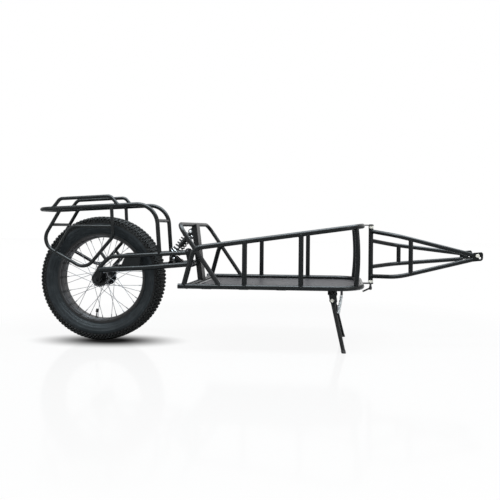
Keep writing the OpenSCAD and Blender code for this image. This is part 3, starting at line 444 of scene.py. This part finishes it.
KNOB_ROOT = 2.5 * MM        # how far a knob reaches into the carcass
KNOB_SINK = 0.15 * MM       # how far its top lies under the envelope
KNOB_FOOT, KNOB_TOP = 1.12, 0.84    # its taper, as shares of its length and width
KNOB_EDGE = 1.1 * MM        # chamfer of its top
KNOB_PANEL, KNOB_RIM = 1.1 * MM, 1.6 * MM   # depth of the panel in its top, and its rim


def envelope(angle):
    """A point of the tyre's outline, over the knobs: radius and distance from the middle.

    The angle runs from 90 degrees at the crown, past 0 at the widest place, to the bead.
    """
    a = math.radians(angle)
    if angle > 0:
        return Vector((WAIST_R + (TYRE_R - WAIST_R) * math.sqrt(math.sin(a)),
                       TYRE_HALF_W * max(math.cos(a), 0.0) ** 0.4))
    return Vector((WAIST_R + (WAIST_R - LIP_R) * math.sin(a),
                   TYRE_HALF_W - (TYRE_HALF_W - BEAD_Y) * (-math.sin(a)) ** 1.6))


def outward(angle):
    """The envelope's normal."""
    run = envelope(min(angle + 0.5, 89.9)) - envelope(angle - 0.5)
    return Vector((-run.y, run.x)).normalized()


def step(low, high, x):
    """0 below low, 1 above high, and a smooth step between them."""
    t = min(1.0, max(0.0, (x - low) / (high - low)))
    return t * t * (3 - 2 * t)


def side_ridge(angle):
    """Height of the plain raised rings on the side wall."""
    return sum(h * MM * math.exp(-((angle - at) / wide) ** 2) for at, h, wide in SIDE_RINGS)


def carcass(angle):
    """A point of the tyre's section without its knobs.

    It drops by a knob's height in two steps, under the two outermost rows of knobs.
    """
    deep = (TREAD_H - SKIN) * (0.45 * step(0, 10, angle) + 0.55 * step(14, 34, angle))
    return envelope(angle) + outward(angle) * (side_ridge(angle) - SKIN - deep)


def tyre_outline():
    """The tyre's closed section as (radius, y): out over the tread and back inside."""
    bead = [(LIP_R, BEAD_Y), (LIP_R - BEAD_H, BEAD_Y), (LIP_R - BEAD_H, BEAD_Y - BEAD_W)]
    inside = [(LIP_R + 12 * MM, 36 * MM), (WAIST_R, 42 * MM), (WAIST_R + 24 * MM, 34 * MM),
              (TYRE_R - 13 * MM, 12 * MM)]
    half = [carcass(a) for a in SECTION_ANGLES] + [Vector(p) for p in bead + inside]
    return half + [Vector((p.x, -p.y)) for p in reversed(half)]


def make_carcass():
    outline = tyre_outline()
    bpy.ops.mesh.primitive_circle_add(vertices=len(outline), radius=0.1, fill_type="NOTHING")
    obj = bpy.context.object
    for v, p in zip(obj.data.vertices, outline):
        v.co = (p.x, p.y, 0.0)

    def turn():
        bpy.ops.mesh.spin(steps=PITCHES, angle=FULL_TURN, center=(0, 0, 0), axis=(0, 1, 0))
        bpy.ops.mesh.select_all(action="SELECT")
        bpy.ops.mesh.remove_doubles(threshold=0.00002)
        bpy.ops.mesh.normals_make_consistent(inside=False)

    in_edit(obj, turn)
    return obj


def make_knob(angle, lag, length, width, side):
    """One tread knob on the carcass: a chamfered block with a sunk panel in its top."""
    bpy.ops.mesh.primitive_cube_add(size=1.0)
    obj = bpy.context.object
    for v in obj.data.vertices:
        taper = KNOB_TOP if v.co.z > 0 else KNOB_FOOT
        v.co = Vector((v.co.x * length * MM * taper, v.co.y * width * MM * taper,
                       (v.co.z - 0.5) * (TREAD_H + KNOB_ROOT)))
    on_faces(obj, lambda p: p.normal.z > 0.9,
             lambda: bpy.ops.mesh.bevel(offset=KNOB_EDGE, segments=1, affect="EDGES"))
    on_faces(obj, lambda p: p.normal.z > 0.98 and p.area > 20 * MM * MM,
             lambda: bpy.ops.mesh.inset(thickness=KNOB_RIM, depth=-KNOB_PANEL))
    on_faces(obj, lambda p: p.normal.z < -0.9,
             lambda: bpy.ops.mesh.delete(type="ONLY_FACE"))
    # crown is 1 on the knob's top and 0 at its foot, where the tyre's finish paints shade into the grooves.
    crown = obj.data.attributes.new("crown", "FLOAT", "POINT")
    for v, mark in zip(obj.data.vertices, crown.data):
        mark.value = 1.0 if v.co.z > -1.0 * MM else 0.0
    at, n = envelope(angle), outward(angle)
    up, across = Vector((n.x, side * n.y, 0)), Vector((0, side, 0))
    across = (across - across.dot(up) * up).normalized()
    lay = Matrix((across.cross(up), across, up)).transposed().to_4x4()
    lay.translation = Vector((at.x, side * at.y, 0)) - up * KNOB_SINK
    obj.data.transform(lay)
    obj.data.transform(Matrix.Rotation(lag * PITCH_TURN, 4, "Y"))
    return obj


def make_tyre():
    pattern = joined([make_knob(*knob, side) for knob in KNOBS for side in (1, -1)])
    rows = [pattern] + [copy_of(pattern, Matrix.Rotation(i * PITCH_TURN, 4, "Y"))
                        for i in range(1, PITCHES)]
    tyre = joined([make_carcass(), *rows])
    tyre.data.transform(Matrix.Translation(AXLE))
    smooth(tyre, 40)
    dress(tyre, "knobby_tyre", "wheel", "tyre_rubber")
    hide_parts("tyre")


# ---------------------------------------------------------------- the valve's cap
CAP_L = 15 * MM
CAP_BACK = 6.5 * MM         # from the valve's end to the middle of the cap
CAP_WALL = 0.5 * MM         # by which the cap is wider than the valve


def make_valve_cap():
    """A ribbed cap, screwed on the inner end of the valve."""
    low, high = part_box("valve")
    middle, half = (low + high) / 2, (high - low) / 2
    inward = AXLE - middle
    inward.y = 0.0
    inward.normalize()
    # A cylinder's box has half sides reach * dx + radius * dz and reach * dz + radius * dx.
    dx, dz = abs(inward.x), abs(inward.z)
    reach = (half.z * dz - half.x * dx) / (dz * dz - dx * dx)
    radius = (half.x - dx * reach) / dz
    bpy.ops.mesh.primitive_cylinder_add(vertices=24, radius=radius + CAP_WALL, depth=CAP_L,
                                        end_fill_type="NGON")
    cap = bpy.context.object
    on_faces(cap, lambda p: abs(p.normal.z) < 0.5, lambda: bpy.ops.mesh.inset(
        thickness=0.25 * MM, use_individual=True, depth=0.3 * MM))
    on_faces(cap, lambda p: p.normal.z > 0.9, lambda: bpy.ops.mesh.bevel(
        offset=1.2 * MM, segments=3, affect="EDGES"))
    at = middle + inward * (reach - CAP_BACK)
    cap.data.transform(aimed(at, at + inward))
    smooth(cap, 40)
    dress(cap, "valve_cap", "wheel", "black_plastic")


# ---------------------------------------------------------------- coil springs
def make_coil(start, end, radius, wire, turns, sides, steps):
    """A round wire wound about the line from start to end, closed at its ends.

    Its section has so many sides, and each turn so many steps.
    """
    bpy.ops.mesh.primitive_circle_add(vertices=sides, radius=wire / 2, fill_type="NOTHING",
                                      rotation=(math.pi / 2, 0, 0), location=(radius, 0, 0))
    coil = fixed(bpy.context.object)
    seat = wire * 0.8           # from the line's ends to the wire's middle
    screw = coil.modifiers.new("wind", "SCREW")
    screw.axis, screw.angle, screw.iterations = "Z", FULL_TURN * turns, 1
    screw.screw_offset = (end - start).length - 2 * seat
    screw.steps = screw.render_steps = int(steps * turns)
    screw.use_smooth_shade = True
    bpy.ops.object.modifier_apply(modifier="wind")
    coil.data.transform(aimed(start, end) @ Matrix.Translation((0, 0, seat)))

    def close():
        bpy.ops.mesh.select_all(action="DESELECT")
        bpy.ops.mesh.select_non_manifold(extend=False, use_wire=False, use_multi_face=False,
                                         use_non_contiguous=False, use_verts=False)
        bpy.ops.mesh.fill_holes(sides=0)
        bpy.ops.mesh.select_all(action="SELECT")
        bpy.ops.mesh.normals_make_consistent(inside=False)

    in_edit(coil, close)
    smooth(coil, 60)
    return coil


SHOCK_TOP = Vector(JOINTS["shock_swing"]["pos_m"])
SHOCK_LINE = -Vector(JOINTS["shock_slide"]["axis"]).normalized()
SPRING_FROM, SPRING_TO = 26.3 * MM, 113.3 * MM      # the spring's seats, from the upper bolt


def on_shock(t):
    """The point of the shock absorber's middle line that is t below its upper bolt."""
    return SHOCK_TOP + SHOCK_LINE * t


def make_shock_spring():
    coil = make_coil(on_shock(SPRING_FROM), on_shock(SPRING_TO), radius=21 * MM, wire=6 * MM,
                     turns=5.5, sides=12, steps=24)
    named(coil, "shock_coil", FINISHES["black_powder_coat"])
    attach(coil, "shock_body")
    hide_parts("shock_spring")
    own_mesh(coil)


def make_stand_spring():
    """The stand's spring, from under its pin on the frame to its end on the leg."""
    low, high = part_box("stand_spring")
    pin_low, pin_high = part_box("spring_pin")
    outer_r, play = 6 * MM, 0.3 * MM
    top = Vector(((pin_low.x + pin_high.x) / 2, (pin_low.y + pin_high.y) / 2, pin_low.z - play))
    foot = Vector((low.x + outer_r, low.y + high.y - top.y, low.z))
    coil = make_coil(top, foot, radius=6.2 * MM, wire=2.0 * MM, turns=30, sides=8, steps=12)
    named(coil, "stand_coil", worn_steel("zinc_wire", (0.84, 0.88, 0.90), 0.35, metallic=0.55))
    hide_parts("stand_spring")
    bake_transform(coil)


# ---------------------------------------------------------------- weld beads
# Radii of the tubes, and the stations where they meet, as the part's source has them
RAIL_R, POST_R, HOOP_R = 11 * MM, 10.75 * MM, 9.5 * MM
HEAD_R, FORK_R, RACK_R, ROD_R = 11 * MM, 9.5 * MM, 9.5 * MM, 8 * MM
WELD_R = 1.7 * MM           # radius of a bead's section
RIPPLES, RIPPLE = 26, 0.16  # swellings round a bead, and their height as a share of it
FLUSH = 0.2 * MM            # taken off a branch that is as wide as its main tube
RAIL_Y, DECK_Z = 260, 287
UPPER_BACK, UPPER_SLOPE = (504, 450), math.tan(math.radians(8))
POST_S, LEG_FOOT_S, HOOP_FOOT_S, HOOP_TOP, CROSSBAR_S = (723, 963), 461, 619, (437, 551), 474
HEAD_S, FORK_KNEE_S, FORK_Y = 1270, 1385, 100
NEAR_FORK = ((528.5, 508.5), (319.5, 326))      # heights of its tubes, at head and knee
FAR_FORK = ((485, 463), (363, 372))
RACK_Y, RACK_Z, RACK_SLOPE = 87, 632, math.tan(math.radians(3.2))
RACK_RODS = (               # a rod's station on the rail, and the knee that it runs to
    (-213, (-177, 666)), (101, (64, 680)), (-172, (-268.5, 457.5)), (69, (77, 491)))


def weld(at, along, radius, main_dir, main_radius):
    """A rippled bead where a branch tube leaves a main tube: a ring laid on the joint.

    Both tubes' middle lines pass through at.
    """
    bpy.ops.mesh.primitive_torus_add(major_segments=56, minor_segments=6, major_radius=radius,
                                     minor_radius=WELD_R)
    ring = bpy.context.object
    d, m = along.normalized(), main_dir.normalized()
    u = (m - m.dot(d) * d).normalized()
    w = d.cross(u)
    run = d - d.dot(m) * m
    for v in ring.data.vertices:
        turn = math.atan2(v.co.y, v.co.x)
        out = u * math.cos(turn) + w * math.sin(turn)
        foot = at + out * radius
        off = foot - at
        off -= off.dot(m) * m
        # foot + d * t lies on the main tube where |off + run * t| is main_radius.
        a, b, c = run.dot(run), 2 * off.dot(run), off.dot(off) - main_radius ** 2
        t = (-b + math.sqrt(max(b * b - 4 * a * c, 0.0))) / (2 * a)
        swell = 1.0 + RIPPLE * math.sin(turn * RIPPLES)
        local = Vector((math.hypot(v.co.x, v.co.y) - radius, v.co.z)) * swell
        v.co = foot + d * t + out * local.x + d * local.y
    return ring


def make_welds(name, body, joints):
    ring = joined([weld(*j) for j in joints])
    smooth(ring, 80)
    dress(ring, name, body, "black_powder_coat")


def upper_z(s):
    """Height of the upper rail."""
    return UPPER_BACK[1] + (s - UPPER_BACK[0]) * UPPER_SLOPE


def frame_welds():
    """The side posts, on both rails, and what stands on or crosses the lower rail."""
    ahead, rise = Vector((1, 0, 0)), Vector((1, 0, UPPER_SLOPE)).normalized()
    found = []
    for side in (-1, 1):
        y = side * RAIL_Y
        for s in POST_S:
            low, high = place(s, y, DECK_Z), place(s, y, upper_z(s))
            found.append((low, high - low, POST_R, ahead, RAIL_R))
            found.append((high, low - high, POST_R, rise, RAIL_R))
        leg, hoop = place(LEG_FOOT_S, y, DECK_Z), place(HOOP_FOOT_S, y, DECK_Z)
        up_leg = place(UPPER_BACK[0], y, UPPER_BACK[1]) - leg
        up_hoop = place(HOOP_TOP[0], y, HOOP_TOP[1]) - hoop
        found.append((leg, up_leg, RAIL_R - FLUSH, ahead, RAIL_R))
        found.append((hoop, up_hoop, HOOP_R, ahead, RAIL_R))
        found.append((place(CROSSBAR_S, y, DECK_Z), Vector((0, -side, 0)), RAIL_R - FLUSH,
                      ahead, RAIL_R))
    return found


def fork_welds():
    """The fork's four tubes, on the head tube."""
    found = []
    for side, tubes in ((-1, NEAR_FORK), (1, FAR_FORK)):
        for z, knee_z in tubes:
            start = place(HEAD_S, 0, z)
            along = place(FORK_KNEE_S, side * FORK_Y, knee_z) - start
            found.append((start, along, FORK_R, Vector((0, 0, 1)), HEAD_R))
    return found


def rack_welds():
    """The rods of the rack's hoops and pannier loops, on its rails."""
    rail = Vector((1, 0, RACK_SLOPE)).normalized()
    found = []
    for side in (-1, 1):
        for s, (knee_s, knee_z) in RACK_RODS:
            foot = place(s, side * RACK_Y, RACK_Z + s * RACK_SLOPE)
            along = place(knee_s, side * RACK_Y, knee_z) - foot
            found.append((foot, along, ROD_R, rail, RACK_R))
    return found


# ---------------------------------------------------------------- fasteners
BOLT_HEADS = (  # name, body, slot, radius, height, and the place: s, z, distance from the middle
    ("shock_lower_heads", "swingarm", "dark_steel", 6, 2.2, (334, 402, 21.3)),
    ("shock_bracket_heads", "swingarm", "bright_steel", 5.6, 2.2, (345, 391, 21.3)),
    ("shock_upper_heads", "frame", "bright_steel", 5.6, 2.2, (424, 519, 22.3)),
    ("arm_head_bolts", "swingarm", "dark_steel", 5.5, 2.5, (431, 430, 97.5)),
    ("stand_bolt_heads", "frame", "cream_plastic", 7.2, 2.2, (1094, 220, 136)),
    ("hitch_bolt_heads", "fork", "cream_plastic", 7.2, 2.2, (1732, 424.5, 108)),
)
SHEET_Z = DECK_Z - 6        # the floor plate's upper face
SCREW_S, SCREW_Y = (560, 720, 880, 1094), (-215, 0, 215)


def make_button_head(radius, high):
    """A socket button head, standing on z = 0: a domed disc with a round recess."""
    bpy.ops.mesh.primitive_cylinder_add(vertices=24, radius=radius, depth=high,
                                        location=(0, 0, high / 2), end_fill_type="NGON")
    head = fixed(bpy.context.object)

    def recess():
        bpy.ops.mesh.inset(thickness=radius * 0.25)
        bpy.ops.mesh.extrude_region_move(
            TRANSFORM_OT_translate={"value": (0, 0, -high * 0.7)})

    on_faces(head, lambda p: p.normal.z > 0.9,
             lambda: bpy.ops.mesh.bevel(offset=high * 0.75, segments=3, affect="EDGES"))
    on_faces(head, lambda p: p.normal.z > 0.99 and p.area > radius * radius * 0.3, recess)
    return head


def make_heads(name, body, slot, radius, high, spots):
    """Button heads at spots, each a point and the direction that it faces."""
    model = make_button_head(radius * MM, high * MM)
    made = []
    for at, facing in spots:
        turn = Vector((0, 0, 1)).rotation_difference(facing).to_matrix().to_4x4()
        made.append(copy_of(model, Matrix.Translation(at) @ turn))
    bpy.data.objects.remove(model)
    heads = joined(made)
    smooth(heads, 40)
    dress(heads, name, body, slot)


def make_fasteners():
    for *head, (s, z, y) in BOLT_HEADS:
        make_heads(*head, [(place(s, side * y, z), Vector((0, side, 0))) for side in (-1, 1)])
    make_heads("floor_screws", "frame", "dark_steel", 5, 1.8,
               [(place(s, y, SHEET_Z), Vector((0, 0, 1))) for s in SCREW_S for y in SCREW_Y])


# ---------------------------------------------------------------- shock collars
COLLAR_R, COLLAR_EDGE_R = 25.6 * MM, 1.7 * MM
COLLARS = (     # name, body, and where the edges lie, in millimetres below the upper bolt
    ("lower_collar_edges", "shock_rod", (114.3, 125.9)),
    ("upper_collar_edge", "shock_body", (21.7, 25.3)),
)


def make_collar_edges():
    """The bright turned edges of the shock absorber's spring seats."""
    for name, body, stations in COLLARS:
        rings = []
        for t in stations:
            bpy.ops.mesh.primitive_torus_add(major_segments=64, minor_segments=8,
                                             major_radius=COLLAR_R, minor_radius=COLLAR_EDGE_R)
            rings.append(bpy.context.object)
            rings[-1].data.transform(aimed(on_shock(t * MM), on_shock((t + 1) * MM)))
        edges = joined(rings)
        smooth(edges, 80)
        dress(edges, name, body, "bright_steel")


# ---------------------------------------------------------------- camera and stage
CAMERA_AT = place(1120.0, -2562.7, 540.1)
CAMERA_AHEAD, CAMERA_RIGHT = Vector((-0.0649, 0.9979, 0.0)), Vector((0.99785, 0.06489, 0.0097))
CAMERA_LENS, CAMERA_SHIFT = 39.46, (-0.106, -0.044)
# The wheel's contact shadow is painted on the floor, as a dark oval centred at SHADOW_AT.
SHADOW_AT = (AXLE.x + 0.04, -0.035, 0.0)
SHADOW_REACH = (0.41, 0.185)        # half axes of the shadow under the wheel
WHITE = (1.0, 1.0, 1.0)
LAMPS = (       # name, place, aim, size, power, tint, and whether it lights gloss alone
    ("overhead_box", (0.1, -0.8, 2.4), (0.0, 0.0, 0.35), (3.2, 0.5), 40.0,
     (0.93, 0.98, 1.0), False),
    ("sheen_box", (0.1, -0.2, 2.6), (0.0, 0.0, 0.35), (4.2, 2.0), 260.0,
     (0.80, 0.93, 1.0), True),
    ("left_strip", (-2.4, -2.2, 1.3), (-0.3, 0.0, 0.4), (0.5, 1.8), 9.0,
     (0.92, 0.97, 1.0), False),
    ("right_strip", (2.6, -1.9, 1.2), (0.4, 0.0, 0.4), (0.4, 1.6), 13.0,
     (1.0, 0.97, 0.94), False),
)


def make_camera():
    """The photograph's camera, as it was fitted to the wheel and the rails."""
    ahead = CAMERA_AHEAD.normalized()
    right = (CAMERA_RIGHT - CAMERA_RIGHT.dot(ahead) * ahead).normalized()
    turn = Matrix((right, right.cross(ahead), -ahead)).transposed().to_4x4()
    data = bpy.data.cameras.new("photo_camera")
    data.sensor_width, data.lens = 36.0, CAMERA_LENS
    data.shift_x, data.shift_y = CAMERA_SHIFT
    data.clip_end = 60.0
    camera = bpy.data.objects.new("photo_camera", data)
    camera.matrix_world = Matrix.Translation(CAMERA_AT) @ turn
    bpy.context.scene.collection.objects.link(camera)
    bpy.context.scene.camera = camera


def make_floor():
    """A white studio floor with a faint reflection, and the wheel's contact shadow painted on it as a dark oval.

    The camera sees mostly a plain glow, so that the floor is as white as the backdrop.
    """
    bpy.ops.mesh.primitive_plane_add(size=40.0, location=(0, 0, 0))
    floor = bpy.context.object
    floor.name = "studio_floor"
    f = Finish("studio_floor", Roughness=0.6, Specular_IOR_Level=0.0)
    reach = f.vector_math("LENGTH", f.point)
    oval = f.vector_math("MULTIPLY", f.centred(SHADOW_AT),
                         (1 / SHADOW_REACH[0], 1 / SHADOW_REACH[1], 0.0))
    # Painted shadow: 1 in the middle of the oval under the wheel, falling to 0 outside it.
    painted_shadow = 1 - f.vector_math("LENGTH", oval).ease(0.15, 1.0)
    camera_ray = f.node("LightPath", output="Is Camera Ray")
    f.paint(f.mix(painted_shadow, (0.9, 0.9, 0.9), (0.01, 0.01, 0.01)))
    glow = f.node("Emission", {}, {"Color": f.mix(painted_shadow, WHITE, (0.01, 0.01, 0.01)),
                                   "Strength": 1.0})
    lit = f.node("MixShader", {}, {0: (0.92 + reach.ease(1.1, 1.9) * 0.08) * camera_ray,
                                   1: Signal(f, f.surface.outputs[0]), 2: glow})
    gloss = f.node("BsdfGlossy", {}, {"Color": (*WHITE, 1.0), "Roughness": 0.1})
    grazing = f.node("Fresnel", {}, {"IOR": 1.3})
    whole = f.node("MixShader", {}, {0: grazing * 0.22 * (1 - painted_shadow), 1: lit, 2: gloss})
    f.feed(f.out.inputs[0], whole)
    floor.data.materials.append(f.material)


def make_world():
    """A white backdrop for the camera and for reflections, and a dimmer room that lights."""
    world = bpy.data.worlds.new("studio_world")
    bpy.context.scene.world = world
    world.use_nodes = True
    tree = world.node_tree
    tree.nodes.clear()
    paths = tree.nodes.new("ShaderNodeLightPath")
    seen = tree.nodes.new("ShaderNodeMath")
    seen.operation = "MAXIMUM"
    tree.links.new(paths.outputs["Is Camera Ray"], seen.inputs[0])
    tree.links.new(paths.outputs["Is Glossy Ray"], seen.inputs[1])
    mix, out = tree.nodes.new("ShaderNodeMixShader"), tree.nodes.new("ShaderNodeOutputWorld")
    tree.links.new(seen.outputs[0], mix.inputs[0])
    for slot, tint, strength in ((1, (0.96, 0.98, 1.0), 0.42), (2, WHITE, 1.0)):
        light = tree.nodes.new("ShaderNodeBackground")
        light.inputs["Color"].default_value = (*tint, 1.0)
        light.inputs["Strength"].default_value = strength
        tree.links.new(light.outputs[0], mix.inputs[slot])
    tree.links.new(mix.outputs[0], out.inputs[0])


def make_lamp(name, at, aim, size, power, tint, sheen_only):
    data = bpy.data.lights.new(name, "AREA")
    data.shape, data.size, data.size_y = "RECTANGLE", size[0], size[1]
    data.energy, data.color = power, tint
    lamp = bpy.data.objects.new(name, data)
    lamp.location = at
    lamp.visible_diffuse = not sheen_only
    lamp.rotation_euler = (Vector(aim) - Vector(at)).to_track_quat("-Z", "Y").to_euler()
    bpy.context.scene.collection.objects.link(lamp)


make_camera()
make_tyre()
make_valve_cap()
make_shock_spring()
make_stand_spring()
make_collar_edges()
make_fasteners()
make_welds("frame_welds", "frame", frame_welds())
make_welds("fork_welds", "fork", fork_welds())
make_welds("rack_welds", "swingarm", rack_welds())
make_floor()
make_world()
for lamp_row in LAMPS:
    make_lamp(*lamp_row)

bpy.context.scene.view_settings.view_transform = "Standard"
bpy.context.view_layer.update()
